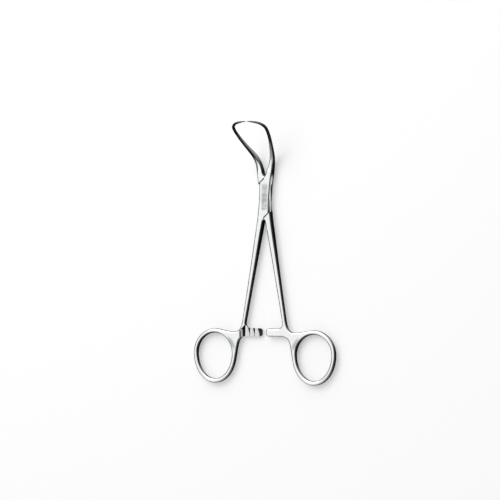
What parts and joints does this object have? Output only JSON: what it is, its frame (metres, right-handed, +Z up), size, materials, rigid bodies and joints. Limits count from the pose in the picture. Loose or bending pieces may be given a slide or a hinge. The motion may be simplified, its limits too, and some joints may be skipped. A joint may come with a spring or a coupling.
{
  "type": "towel clamp",
  "caption": "Ring-handled clamp with a box lock, a ratchet and jaws bent out of plane that end in thin hooked tips, for holding surgical drapes.",
  "frame": {"origin": "pivot axis at the flat back face of the box lock, on which the clamp lies", "axes": "+X towards the right-hand finger ring, +Y from the rings to the tips, +Z up from the table, the way the jaws bend"},
  "size_m": [0.1002, 0.1598, 0.0259],
  "materials": {
    "forged_steel": "polished and lightly satined stainless steel",
    "pin_steel": "ground flush with the box lock"
  },
  "bodies": {
    "female": {"female_half": "forged_steel", "pivot_pin": "pin_steel"},
    "male": {"male_half": "forged_steel"}
  },
  "joints": [
    {"name": "box_lock", "type": "hinge", "parent": "female", "child": "male", "pos_m": [0, 0, 0.00225], "axis": [0, 0, 1], "range_deg": [-1.5, 50]}
  ]
}
